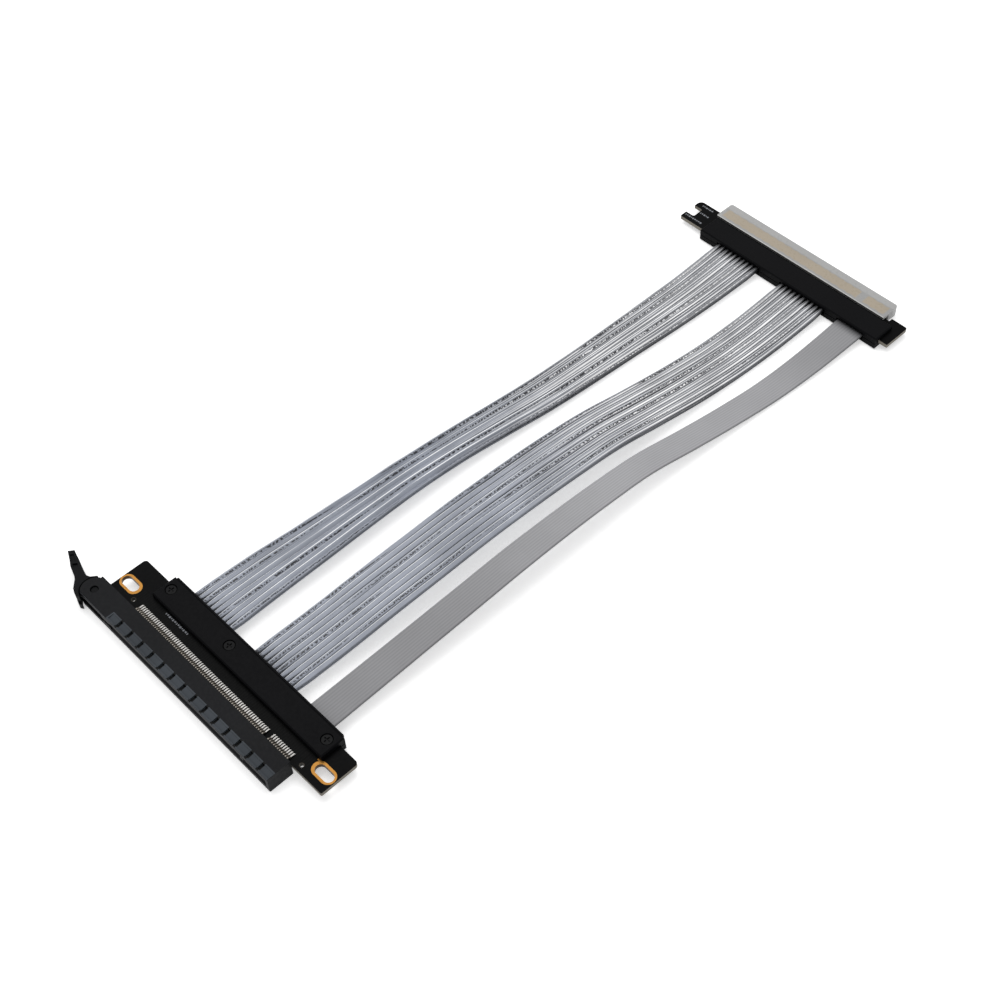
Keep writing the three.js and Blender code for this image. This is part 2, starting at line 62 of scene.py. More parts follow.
def make_camera():
    """The camera that the photograph was matched with."""
    toward = Vector(
        (
            math.cos(ELEVATION) * math.cos(AZIMUTH),
            math.cos(ELEVATION) * math.sin(AZIMUTH),
            math.sin(ELEVATION),
        )
    )
    right = (-toward).cross(Vector((0, 0, 1))).normalized()
    up = right.cross(-toward)
    across = right * math.cos(ROLL) + up * math.sin(ROLL)
    upward = up * math.cos(ROLL) - right * math.sin(ROLL)
    data = bpy.data.cameras.new("camera")
    data.lens = LENS
    data.sensor_width = 36
    data.clip_start = 0.01
    data.clip_end = 20
    camera = bpy.data.objects.new("camera", data)
    bpy.context.scene.collection.objects.link(camera)
    turn = Matrix((across, upward, toward)).transposed()
    camera.matrix_world = Matrix.Translation(at(*LOOK_AT) + toward * DISTANCE * MM) @ turn.to_4x4()
    bpy.context.scene.camera = camera


make_camera()


# Cable routes, the same stations as in the source

SOCKET_END = 26.5
PLUG_END = 291.5
SOCKET_MID_Z = 3.75
PLUG_MID_Z = 2.8
STATIONS = [52, 73, 94, 116, 138, 159, 180, 202, 224, 245, 266]
ROUTES = {
    "strip_group_1": {
        "socket": (11.4, 33.8),
        "plug": (0.4, 22.6),
        "stations": [
            [21.6, 4.7, 20.6],
            [20.6, 5.1, 18.6],
            [20.0, 5.2, 16.8],
            [19.5, 5.0, 15.6],
            [18.7, 4.0, 15.3],
            [17.2, 3.0, 16.0],
            [15.4, 2.2, 16.9],
            [14.2, 1.75, 17.6],
            [13.3, 1.55, 18.6],
            [12.4, 1.5, 19.8],
            [11.7, 1.9, 20.8],
        ],
    },
    "strip_group_2": {
        "socket": (-23.0, 0.0),
        "plug": (-33.4, -10.8),
        "stations": [
            [-13.0, 6.0, 22.8],
            [-13.9, 8.1, 22.8],
            [-14.6, 9.4, 22.8],
            [-15.1, 10.3, 22.8],
            [-15.8, 10.4, 22.8],
            [-16.3, 9.6, 22.8],
            [-16.9, 8.0, 22.4],
            [-18.2, 4.9, 22.2],
            [-19.8, 2.6, 22.2],
            [-21.1, 1.5, 22.0],
            [-22.0, 1.9, 22.2],
        ],
    },
    "flat_ribbon": {
        "socket": (-42.4, -30.2),
        "plug": (-52.6, -40.0),
        "stations": [
            [-37.0, 5.6, 11.9],
            [-37.5, 7.1, 11.7],
            [-37.8, 8.2, 11.6],
            [-38.0, 9.2, 11.5],
            [-38.2, 9.2, 11.2],
            [-38.5, 8.5, 11.0],
            [-39.1, 7.1, 10.8],
            [-41.0, 4.3, 10.8],
            [-43.0, 2.2, 10.9],
            [-44.7, 1.1, 11.2],
            [-45.9, 1.7, 11.8],
        ],
    },
}
LAYER_OFFSET = 0.6
STRIP_THICKNESS = 0.81
RIBBON_THICKNESS = 1.1
STEPS = 200
PATH_PARTS = 25
NEARBY = 0.5  # mm either way, for the direction of a route


def knots(route):
    """x, middle y, height and width of each station, with both ends."""
    (s0, s1), (p0, p1) = route["socket"], route["plug"]
    rows = [(SOCKET_END, (s0 + s1) / 2, SOCKET_MID_Z, s1 - s0)]
    rows += [(x, *row) for x, row in zip(STATIONS, route["stations"])]
    rows.append((PLUG_END, (p0 + p1) / 2, PLUG_MID_Z, p1 - p0))
    return rows


def smooth(rows, x):
    """The rows' values at x, on a cubic through the knots."""
    i = max(k for k in range(len(rows) - 1) if rows[k][0] <= x or k == 0)
    a, b = rows[i], rows[i + 1]
    before = rows[max(i - 1, 0)]
    after = rows[min(i + 2, len(rows) - 1)]
    span = b[0] - a[0]
    t = (x - a[0]) / span
    out = []
    for k in (1, 2, 3):
        slope_a = (b[k] - before[k]) / (b[0] - before[0])
        slope_b = (after[k] - a[k]) / (after[0] - a[0])
        out.append(
            (2 * t**3 - 3 * t**2 + 1) * a[k]
            + (t**3 - 2 * t**2 + t) * span * slope_a
            + (3 * t**2 - 2 * t**3) * b[k]
            + (t**3 - t**2) * span * slope_b
        )
    return out


def stretch(route):
    """Centre, side, up and width at even steps along a route, in mm."""
    rows = knots(route)
    reach = PLUG_END - SOCKET_END
    out = []
    for i in range(STEPS + 1):
        x = SOCKET_END + reach * i / STEPS
        y, z, width = smooth(rows, x)
        lo = max(SOCKET_END, x - NEARBY)
        hi = min(PLUG_END, x + NEARBY)
        y0, z0, _ = smooth(rows, lo)
        y1, z1, _ = smooth(rows, hi)
        along = Vector((hi - lo, y1 - y0, z1 - z0)).normalized()
        side = Vector((-along.y, along.x, 0)).normalized()
        up = along.cross(side)
        out.append((Vector((x, y, z)), side, up, width))
    return out


def mesh_object(name, points, faces, uvs=None):
    """A smooth-shaded object, with a map of where each point lies along and across a cable."""
    data = bpy.data.meshes.new(name)
    data.from_pydata([tuple(p) for p in points], [], faces)
    if uvs is not None:
        layer = data.uv_layers.new(name="along")
        for loop in data.loops:
            layer.data[loop.index].uv = uvs[loop.vertex_index]
    data.polygons.foreach_set("use_smooth", [True] * len(data.polygons))
    data.update()
    obj = bpy.data.objects.new(name, data)
    bpy.context.scene.collection.objects.link(obj)
    return obj


def sweep(rings, uvs, points, faces, coords):
    """Adds a closed tube through the rings."""
    start = len(points)
    n = len(rings[0])
    for ring, row in zip(rings, uvs):
        points.extend(ring)
        coords.extend(row)
    for i in range(len(rings) - 1):
        for k in range(n):
            a = start + i * n + k
            b = start + i * n + (k + 1) % n
            faces.append((a, b, b + n, a + n))
    faces.append(tuple(start + k for k in reversed(range(n))))
    faces.append(tuple(start + (len(rings) - 1) * n + k for k in range(n)))


def soft_section(width, thickness, count=12, power=3.2):
    """A flat oval with full edges."""
    out = []
    for k in range(count):
        a = 2 * math.pi * (k + 0.5) / count
        c, s = math.cos(a), math.sin(a)
        out.append(
            (
                math.copysign(abs(c) ** (2 / power), c) * width / 2,
                math.copysign(abs(s) ** (2 / power), s) * thickness / 2,
            )
        )
    return out


STRIPS = 10
STRIP_WIDTH = 2.2
NECK = 7.0  # mm over which a strip narrows into its cover
NECK_WIDTH = 0.45  # of its full width
SOLDERED_AT_SOCKET = 2.0
SOLDERED_AT_PLUG = 1.0
PHASES = 6.3  # a little over a full turn, in radians
LEAN = (0.45, 0.9)  # how far a strip turns on edge to fit its place
RISE = 0.12
RISE_RATE = 0.055
SWAY = 0.16
SWAY_RATE = 0.04
MAP_WIDTH = 0.98  # how far a strip reaches across its own unit of the map
RIBBON_POINTS = 40
RIBBON_POWER = 8


def neck(x):
    """How full a strip is at x: narrower where it is soldered under either cover."""
    free = min(x - SOCKET_END - SOLDERED_AT_SOCKET, PLUG_END - x - SOLDERED_AT_PLUG)
    near_end = free / NECK
    return NECK_WIDTH + (1 - NECK_WIDTH) * min(1, max(0, near_end)) ** 0.5


def make_strips(name, seed):
    """Two layers of narrow wrapped strips side by side, as one mesh."""
    chance = random.Random(seed)
    places = stretch(ROUTES[name])
    step = (PLUG_END - SOCKET_END) / STEPS
    points, faces, coords = [], [], []
    for layer in (1, -1):
        for strip in range(STRIPS):
            share = (strip + 0.5) / STRIPS - 0.5
            phase = chance.uniform(0, PHASES)
            lean = chance.uniform(*LEAN) * (1 if strip % 2 else -1)
            rings, uvs = [], []
            for i, (centre, side, up, width) in enumerate(places):
                full = STRIP_WIDTH * neck(centre.x)
                pitch = width / STRIPS
                tilt = math.acos(min(1, pitch / full)) * lean
                middle_part = math.sin(math.pi * i / STEPS)
                rise = RISE * middle_part * math.sin(i * RISE_RATE + phase)
                sway = SWAY * middle_part * math.sin(i * SWAY_RATE + 2 * phase)
                middle = centre + side * (share * width + sway)
                middle += up * (layer * LAYER_OFFSET + rise)
                ring, row = [], []
                for u, v in soft_section(full, STRIP_THICKNESS):
                    a = u * math.cos(tilt) - v * math.sin(tilt)
                    b = u * math.sin(tilt) + v * math.cos(tilt)
                    ring.append((middle + side * a + up * b - RIGID_CENTRE) * MM)
                    row.append((i * step, strip + 0.5 + MAP_WIDTH * u / full))
                rings.append(ring)
                uvs.append(row)
            sweep(rings, uvs, points, faces, coords)
    return mesh_object(name + "_strips", points, faces, coords)


def path_of(name):
    """The cord's path: some of the places along its route, as points of the frame."""
    return [tuple((c - RIGID_CENTRE) * MM) for c, _, _, _ in stretch(ROUTES[name])[:: STEPS // PATH_PARTS]]


def make_ribbon(name):
    """The fine flat cable, as one mesh."""
    points, faces, coords = [], [], []
    rings, uvs = [], []
    for i, (centre, side, up, width) in enumerate(stretch(ROUTES[name])):
        ring, row = [], []
        for u, v in soft_section(width, RIBBON_THICKNESS, RIBBON_POINTS, RIBBON_POWER):
            ring.append((centre + side * u + up * v - RIGID_CENTRE) * MM)
            row.append((i * (PLUG_END - SOCKET_END) / STEPS, u / width + 0.5))
        rings.append(ring)
        uvs.append(row)
    sweep(rings, uvs, points, faces, coords)
    return mesh_object(name + "_film", points, faces, coords)


def declare(obj, name, replaced):
    """Puts a mesh on the riser body in place of the source's plain bands, which it hides."""
    path = path_of(name)
    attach(obj, "riser")
    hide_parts(*replaced)


group_1 = make_strips("strip_group_1", 3)
group_2 = make_strips("strip_group_2", 8)
ribbon = make_ribbon("flat_ribbon")
declare(group_1, "strip_group_1", ["strip_group_1_upper", "strip_group_1_lower"])
declare(group_2, "strip_group_2", ["strip_group_2_upper", "strip_group_2_lower"])
declare(ribbon, "flat_ribbon", ["flat_ribbon"])


# Small pieces that the source leaves to this script

BOARD_TOP = 4.55
BOARD_BOTTOM = 2.95
TONGUE_TOP = 3.6
TONGUE_BOTTOM = 2.0
PLUG_X = 290.5  # the face of the plug cover that the cables enter
LONG_PART = 71  # contacts on the latch side of the key
SHORT_PART = 11


def contact_row(first, after_key):
    """The contacts' places in Y, 1 mm apart, on both sides of the key."""
    return [first - i for i in range(LONG_PART)] + [after_key - i for i in range(SHORT_PART)]


SOCKET_ROW = contact_row(41.5, -31.5)
TONGUE_ROW = contact_row(31.775, -41.775)


def prism(outline, y0, y1, points, faces):
    """Adds an outline in X and Z, drawn out from y0 to y1."""
    start = len(points)
    n = len(outline)
    for y in (y0, y1):
        points.extend(at(x, y, z) for x, z in outline)
    for k in range(n):
        b = (k + 1) % n
        faces.append((start + k, start + b, start + n + b, start + n + k))
    faces.append(tuple(start + k for k in reversed(range(n))))
    faces.append(tuple(start + n + k for k in range(n)))


def flat_piece(name, points, faces, body="riser"):
    obj = mesh_object(name, points, faces)
    obj.data.polygons.foreach_set("use_smooth", [False] * len(obj.data.polygons))
    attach(obj, body)
    return obj


def boxed(x0, x1, z0, z1):
    return [(x0, z0), (x1, z0), (x1, z1), (x0, z1)]


SOLDER_X = (12.1, 13.4)
SOLDER_HALF = 0.2
SOLDER_HEIGHT = 0.27


def make_solder():
    """The joint under each contact's foot, on both faces of the socket board."""
    points, faces = [], []
    levels = ((BOARD_TOP, BOARD_TOP + SOLDER_HEIGHT), (BOARD_BOTTOM - SOLDER_HEIGHT, BOARD_BOTTOM))
    for y in SOCKET_ROW:
        for z0, z1 in levels:
            prism(boxed(*SOLDER_X, z0, z1), y - SOLDER_HALF, y + SOLDER_HALF, points, faces)
    return flat_piece("socket_solder", points, faces)


SPRING_LINE = [(1.6, 0.86), (3.6, 0.5), (5.0, 0.55), (8.6, 0.86)]  # x, and height off the middle
SPRING_THICKNESS = 0.09
SPRING_HALF = 0.25


def make_springs():
    """The bent contact beams inside the card slot."""
    points, faces = [], []
    for y in SOCKET_ROW:
        for sign in (1, -1):
            outline = [(x, SOCKET_MID_Z + sign * h) for x, h in SPRING_LINE]
            back = [(x, SOCKET_MID_Z + sign * (h + SPRING_THICKNESS)) for x, h in SPRING_LINE]
            outline += reversed(back)
            prism(outline, y - SPRING_HALF, y + SPRING_HALF, points, faces)
    return flat_piece("slot_springs", points, faces)


PLATING = 0.04
FINGER_X = (PLUG_X + 13.7, PLUG_X + 20.2)
FINGER_HALF = 0.39


def make_fingers():
    """The plated edge fingers, on both faces of the tongue."""
    points, faces = [], []
    levels = ((TONGUE_TOP, TONGUE_TOP + PLATING), (TONGUE_BOTTOM - PLATING, TONGUE_BOTTOM))
    for y in TONGUE_ROW:
        for z0, z1 in levels:
            prism(boxed(*FINGER_X, z0, z1), y - FINGER_HALF, y + FINGER_HALF, points, faces)
    return flat_piece("edge_fingers", points, faces)


# X, first Y, last Y and height of each row of bars
PRINT_ROWS = [
    (PLUG_X + 4.2, 44.2, 36.0, TONGUE_TOP),
    (PLUG_X + 8.9, 40.2, 35.6, TONGUE_TOP),
    (PLUG_X + 12.9, 42.4, 37.4, TONGUE_TOP),
    (16.5, 33.4, 21.0, BOARD_TOP),
]
BAR_LENGTHS = (0.42, 0.64, 0.86)
BAR_GAP = 0.36
BAR_WIDTH = 0.75
BAR_INDENT = 0.15  # of every second bar
PRINT_HEIGHT = 0.02


def make_marks():
    """Rows of short plain bars of print beside the plug's fork and beside the contact row."""
    points, faces = [], []
    for x, first, last, z in PRINT_ROWS:
        y = first
        k = 0
        while y > last:
            length = BAR_LENGTHS[k % 3]
            outline = boxed(x + BAR_INDENT * (k % 2), x + BAR_WIDTH, z, z + PRINT_HEIGHT)
            prism(outline, y - length, y, points, faces)
            y -= length + BAR_GAP
            k += 1
    return flat_piece("print_bars", points, faces)


def oval(x, y, half_width, half_length, count=28):
    """A slot's outline: two half circles joined by straight sides, long in Y."""
    straight = half_length - half_width
    out = []
    for k in range(count):
        a = 2 * math.pi * (k + 0.5) / count
        shift = straight if math.sin(a) > 0 else -straight
        out.append((x + half_width * math.cos(a), y + half_width * math.sin(a) + shift))
    return out


# X, Y, half the width, half the length, width of the rim, and how far the rim lies off the hole
HOLES = [
    (15.6, 52.65, 2.0, 4.0, 0.9, -0.25),
    (15.6, -53.75, 2.0, 4.0, 0.9, 0.25),
    (12.3, 46.25, 0.8, 0.8, 0.12, 0),
    (12.3, -46.25, 0.8, 0.8, 0.12, 0),
]
RIM_LONGER = 0.05
SPUR_X = (17.2, 17.8)
SPUR_Y = (-49.6, -48.2)
SPUR_HEIGHT = 0.05


def plate_hole(x, y, half_width, half_length, rim, shift, points, faces):
    """Adds one hole's rim on both faces of the board, and its lining."""
    outer = oval(x, y + shift, half_width + rim, half_length + rim + RIM_LONGER)
    inner = oval(x, y, half_width - PLATING, half_length - PLATING)
    top = BOARD_TOP + PLATING
    bottom = BOARD_BOTTOM - PLATING
    loops = [(outer, top), (inner, top), (inner, bottom), (outer, bottom)]
    start = len(points)
    n = len(outer)
    for loop, z in loops:
        points.extend(at(px, py, z) for px, py in loop)
    for j in range(len(loops)):
        this = start + j * n
        following = start + (j + 1) % len(loops) * n
        for k in range(n):
            b = (k + 1) % n
            faces.append((this + k, this + b, following + b, following + k))


def make_plating():
    """Gold rings and linings of the two mounting slots, the two peg holes and a short spur."""
    points, faces = [], []
    for hole in HOLES:
        plate_hole(*hole, points, faces)
    prism(boxed(*SPUR_X, BOARD_TOP, BOARD_TOP + SPUR_HEIGHT), *SPUR_Y, points, faces)
    return flat_piece("slot_plating", points, faces)


LIP_X = (27.6, 28.6)
LIP_Y = (-48.6, 41.3)
LIP_LEVELS = ((5.0, 7.0), (0.5, 2.4))
LIP_ROUNDING = 0.4


def make_lip():
    """The rolled rear edge of the socket cover, above and below the cables."""
    points, faces = [], []
    for z0, z1 in LIP_LEVELS:
        prism(boxed(*LIP_X, z0, z1), *LIP_Y, points, faces)
    piece = flat_piece("cover_lip", points, faces)
    edge = piece.modifiers.new("rolled", "BEVEL")
    edge.width = LIP_ROUNDING * MM
    edge.segments = 3
    return piece


solder = make_solder()
springs = make_springs()
fingers = make_fingers()
marks = make_marks()
plating = make_plating()
lip = make_lip()


# Colours, as red, green and blue in linear light

HOUSING_BLACK = (0.0050, 0.0053, 0.0064)
HOUSING_SHADE = (0.0008, 0.0008, 0.0008)
# painted highlight along the top edge of the housing's mouth
HOUSING_EDGE_HIGHLIGHT = (0.085, 0.09, 0.10)
# painted highlight, where the sloped window panels catch the light
HOUSING_WINDOW_HIGHLIGHT = (0.052, 0.059, 0.068)
LATCH_BLACK = (0.0026, 0.0029, 0.0036)
COVER_BLACK = (0.0024, 0.0024, 0.0030)
SCREW_BLACK = (0.0022, 0.0022, 0.0026)
MASK_BLACK = (0.0018, 0.0018, 0.0020)
TRACE_BLACK = (0.0040, 0.0042, 0.0040)
LAMINATE = (0.24, 0.222, 0.19)
PRINT_GREY = (0.19, 0.20, 0.22)
TAIL_TAN = (0.17, 0.15, 0.125)
FOOT_TIN = (0.35, 0.34, 0.325)
BRIGHT_TIN = (0.30, 0.295, 0.28)
GOLD_FACE = (0.29, 0.13, 0.018)
GOLD_WALL = (0.07, 0.032, 0.008)
PEG_RIM = (0.014, 0.010, 0.005)
FINGER_TAN = (0.86, 0.68, 0.45)
FOIL_DULL = (0.262, 0.283, 0.330)
FOIL_DULL_LATE = (0.135, 0.141, 0.158)
FOIL_PALE = (0.315, 0.338, 0.395)
FOIL_PALE_LATE = (0.46, 0.47, 0.50)
# painted light on the faces that turn sideways, where less light falls
FOIL_SIDE_LIGHT = (0.42, 0.44, 0.49)
FOIL_SIDE_LIGHT_LATE = (0.62, 0.63, 0.66)
# painted highlight along the crest of a strip
FOIL_CREST_HIGHLIGHT = (1.0, 1.0, 1.0)
# painted highlight line along one edge of a strip
FOIL_EDGE_HIGHLIGHT = (0.97, 0.98, 1.0)
# painted shade along the edge where a strip meets the next
FOIL_EDGE_SHADE = (0.05, 0.052, 0.058)
FOIL_TYPE = (0.02, 0.021, 0.025)
# painted shadow where the strips run under the covers
FOIL_ROOT_SHADOW = (0.012, 0.012, 0.014)
FILM_SOCKET = (0.265, 0.265, 0.275)
FILM_MIDDLE = (0.40, 0.40, 0.415)
FILM_PLUG = (0.30, 0.30, 0.31)
FILM_WIRE = (0.12, 0.12, 0.13)
FILM_EDGE = (0.08, 0.08, 0.085)
# painted shadow where the ribbon runs under the plug cover
FILM_ROOT_SHADOW = (0.03, 0.03, 0.033)
# painted highlight along the top edge of the cap's mouth
CAP_MOUTH_HIGHLIGHT = (0.66, 0.66, 0.65)
CAP_MILKY = (0.405, 0.405, 0.402)
CAP_WARM = (0.47, 0.405, 0.315)
# painted shade on the cap's end face, for the dark gap seen through it
CAP_END_FACE_SHADE = (0.045, 0.045, 0.045)


# Shader helpers


def calc(tree, operation, *values):
    """A math node's result. Each value is a number or a socket."""
    node = tree.nodes.new("ShaderNodeMath")
    node.operation = operation
    for socket, value in zip(node.inputs, values):
        if isinstance(value, (int, float)):
            socket.default_value = value
        else:
            tree.links.new(value, socket)
    return node.outputs[0]


def product(tree, *values):
    """All the values multiplied."""
    out = values[0]
    for value in values[1:]:
        out = calc(tree, "MULTIPLY", out, value)
    return out


def off(tree, value, centre):
    """How far the value lies from the centre, on either side."""
    return calc(tree, "ABSOLUTE", calc(tree, "SUBTRACT", value, centre))


def between(tree, value, low, high):
    """1 where the value lies between the two numbers."""
    over = calc(tree, "GREATER_THAN", value, low)
    under = calc(tree, "LESS_THAN", value, high)
    return product(tree, over, under)


def ramp(tree, value, low, high, start=0.0, end=1.0):
    """Goes from start to end while the value goes from low to high."""
    node = tree.nodes.new("ShaderNodeMapRange")
    node.interpolation_type = "SMOOTHSTEP"
    tree.links.new(value, node.inputs["Value"])
    node.inputs["From Min"].default_value = low
    node.inputs["From Max"].default_value = high
    node.inputs["To Min"].default_value = start
    node.inputs["To Max"].default_value = end
    return node.outputs["Result"]


def mixed(tree, share, first, second):
    """The first colour where share is 0, the second where it is 1."""
    node = tree.nodes.new("ShaderNodeMix")
    node.data_type = "RGBA"
    if isinstance(share, (int, float)):
        node.inputs[0].default_value = share
    else:
        tree.links.new(share, node.inputs[0])
    for socket, value in ((node.inputs[6], first), (node.inputs[7], second)):
        if isinstance(value, tuple):
            socket.default_value = (*value, 1)
        else:
            tree.links.new(value, socket)
    return node.outputs[2]


def noise(tree, size, detail=3.0, vector=None):
    """Noise from 0 to 1. Without a vector it follows the frame, size in lumps per metre."""
    node = tree.nodes.new("ShaderNodeTexNoise")
    node.inputs["Scale"].default_value = size
    node.inputs["Detail"].default_value = detail
    if vector is None:
        vector = tree.nodes.new("ShaderNodeTexCoord").outputs["Object"]
    tree.links.new(vector, node.inputs["Vector"])
    return node.outputs["Fac"]


def place(tree):
    """Sockets that hold x, y and z in mm, in the source's own coordinates."""
    split = tree.nodes.new("ShaderNodeSeparateXYZ")
    tree.links.new(tree.nodes.new("ShaderNodeTexCoord").outputs["Object"], split.inputs[0])
    return [calc(tree, "MULTIPLY_ADD", split.outputs[i], 1 / MM, RIGID_CENTRE[i]) for i in range(3)]


def slope(tree):
    """How far the surface looks up: 1 for level, 0 for upright, -1 where it looks down."""
    split = tree.nodes.new("ShaderNodeSeparateXYZ")
    tree.links.new(tree.nodes.new("ShaderNodeNewGeometry").outputs["Normal"], split.inputs[0])
    return split.outputs[2]


def facing_up(tree):
    """1 on faces that look up or down, 0 on the sides."""
    return calc(tree, "GREATER_THAN", calc(tree, "ABSOLUTE", slope(tree)), 0.5)


CLOUDS = 60.0  # lumps per metre of the broad unevenness in colour
CLOUD_STEP = (0.3, 0.7)
LUMP_STEP = (0.2, 0.8)
ROUGH_SWING = 0.06
RELIEF = 0.1  # mm


def finish_of(name, colour, rough, metal=0.0, specular=0.5, grain=900.0, bump=0.05, spread=0.12):
    """A finish. colour is three numbers or a function that makes a colour socket in the tree."""
    material = bpy.data.materials.new(name)
    material.use_nodes = True
    tree = material.node_tree
    shader = tree.nodes["Principled BSDF"]
    shader.inputs["Metallic"].default_value = metal
    shader.inputs["Specular IOR Level"].default_value = specular
    lumps = noise(tree, grain)
    cloud = noise(tree, CLOUDS, 4.0)
    base = colour(tree) if callable(colour) else mixed(tree, 0.0, colour, colour)
    shade = tree.nodes.new("ShaderNodeHueSaturation")
    tree.links.new(ramp(tree, cloud, *CLOUD_STEP, 1 - spread, 1 + spread), shade.inputs["Value"])
    tree.links.new(base, shade.inputs["Color"])
    tree.links.new(shade.outputs["Color"], shader.inputs["Base Color"])
    roughness = ramp(tree, lumps, *LUMP_STEP, rough - ROUGH_SWING, rough + ROUGH_SWING)
    tree.links.new(roughness, shader.inputs["Roughness"])
    relief = tree.nodes.new("ShaderNodeBump")
    relief.inputs["Strength"].default_value = bump
    relief.inputs["Distance"].default_value = RELIEF * MM
    tree.links.new(lumps, relief.inputs["Height"])
    tree.links.new(relief.outputs["Normal"], shader.inputs["Normal"])
    return material


# Finish of the slot housing

WINDOW_FIRST = 42.3
WINDOW_PITCH = 6.0
WINDOW_HALF = 2.4
WINDOW_X = (0.14, 3.6)
WINDOWS_Y = (-44.5, 45.0)
SHADES_Y = (-41.5, 42.0)
WINDOWS_ABOVE = 5.5
HIGHLIGHT_LINE_FROM = -0.05
HIGHLIGHT_LINE_ABOVE = 7.2


def housing_colour(tree):
    """Black plastic: painted highlights on fifteen sloped windows, deep shade between them and a painted
    highlight along the mouth's top edge.
    """
    x, y, z = place(tree)
    first_edge = WINDOW_FIRST + WINDOW_PITCH / 2
    steps = calc(tree, "DIVIDE", calc(tree, "SUBTRACT", first_edge, y), WINDOW_PITCH)
    off_middle = off(tree, calc(tree, "FRACT", steps), 0.5)
    inside = calc(tree, "LESS_THAN", off_middle, WINDOW_HALF / WINDOW_PITCH)
    strip = product(tree, between(tree, x, *WINDOW_X), calc(tree, "GREATER_THAN", z, WINDOWS_ABOVE))
    # painted highlight on the sloped window panels
    window_highlight = product(tree, inside, strip, between(tree, y, *WINDOWS_Y))
    outside = calc(tree, "SUBTRACT", 1.0, inside)
    shade = product(tree, outside, strip, between(tree, y, *SHADES_Y))
    # painted highlight along the top edge of the mouth
    edge = between(tree, x, HIGHLIGHT_LINE_FROM, WINDOW_X[0])
    edge = product(tree, edge, calc(tree, "GREATER_THAN", z, HIGHLIGHT_LINE_ABOVE))
    base = mixed(tree, shade, HOUSING_BLACK, HOUSING_SHADE)
    base = mixed(tree, edge, base, HOUSING_EDGE_HIGHLIGHT)
    return mixed(tree, window_highlight, base, HOUSING_WINDOW_HIGHLIGHT)


# Finishes of the contacts, the boards and their plating

FEET_FROM = (11.2, 12.0)
TRACE_SHARE = (0.3, 0.62)  # of each millimetre along Y
TRACE_X = (13.4, 17.6)
PEG_RIMS_Y = (45.0, 47.5)  # on both sides of the middle


def contact_colour(tree):
    """Dull tan where the tails leave the housing, bright tin on their feet."""
    x, _, _ = place(tree)
    return mixed(tree, ramp(tree, x, *FEET_FROM), TAIL_TAN, FOOT_TIN)


def board_colour(tree):
    """Black solder mask with faint traces, and bare laminate on the cut edges."""
    x, y, _ = place(tree)
    lines = between(tree, calc(tree, "FRACT", y), *TRACE_SHARE)
    trace = product(tree, lines, between(tree, x, *TRACE_X))
    top = mixed(tree, trace, MASK_BLACK, TRACE_BLACK)
    return mixed(tree, facing_up(tree), LAMINATE, top)


def plating_colour(tree):
    """Gold on the faces, shaded brown on the walls of the holes, nearly black round the peg holes."""
    _, y, _ = place(tree)
    gold_or_brown = mixed(tree, facing_up(tree), GOLD_WALL, GOLD_FACE)
    pegs = between(tree, calc(tree, "ABSOLUTE", y), *PEG_RIMS_Y)
    return mixed(tree, pegs, gold_or_brown, PEG_RIM)


# Finish of the strips. Distances along them are in mm, places across them go from 0 to 1.

BRIGHTENS = (90.0, 190.0)
CREST_HIGHLIGHT = (0.04, 0.15)  # half the painted highlight's width, full and faded
CREST_FIRST = 0.1
CREST_WANDER = 0.5
# where the painted highlight line lies across a strip, and how much of it shows
EDGE_HIGHLIGHT_BAND = (0.83, 0.965)
EDGE_HIGHLIGHT_SHARE = (0.35, 1.0)
# painted light on the faces that turn sideways, where less light falls
SIDE_LIGHT_SLOPE = (0.05, 0.55)
SIDE_LIGHT_SHARE = 0.7
# painted shade along the edge where a strip meets the next
EDGE_SHADE_WIDTH = 0.09
EDGE_SHADE_SHARE = (0.3, 0.8)
TYPE_BAND = (0.22, 0.62)
TYPE_FADES = (200.0, 262.0)
TYPE_SHARE = (0.95, 0.35)
# painted shadow where the strips run under the covers
ROOT_SHADOW_AT_SOCKET = (2.0, 3.4)
ROOT_SHADOW_AT_PLUG = (258.5, 264.0)
ROOT_SHADOW_SHARE = 0.9

# Lumps of noise per mm along a strip and per strip across, and the step between its two levels
WANDER_RATES = (0.02, 2.3)
STREAK_RATES = (0.012, 5.0)
STREAK_STEP = (0.35, 0.7)
HIGHLIGHT_LINE_RATES = (0.03, 1.1)
HIGHLIGHT_LINE_STEP = (0.3, 0.5)
RUN_RATES = (0.021, 1.7)
RUN_STEP = (0.40, 0.44)
DASH_RATES = (1.35, 2.2)
DASH_FROM = 0.475


def strip_coords(tree):
    """Sockets: mm along the strip, its number, and 0 to 1 across it."""
    node = tree.nodes.new("ShaderNodeUVMap")
    node.uv_map = "along"
    split = tree.nodes.new("ShaderNodeSeparateXYZ")
    tree.links.new(node.outputs["UV"], split.inputs[0])
    along, across = split.outputs[0], split.outputs[1]
    return along, calc(tree, "FLOOR", across), calc(tree, "FRACT", across)


def strip_noise(tree, rates, detail):
    """Noise that is drawn out along the strips."""
    node = tree.nodes.new("ShaderNodeUVMap")
    node.uv_map = "along"
    scale = tree.nodes.new("ShaderNodeMapping")
    scale.inputs["Scale"].default_value = (*rates, 1)
    tree.links.new(node.outputs["UV"], scale.inputs["Vector"])
    return noise(tree, 1.0, detail, scale.outputs["Vector"])


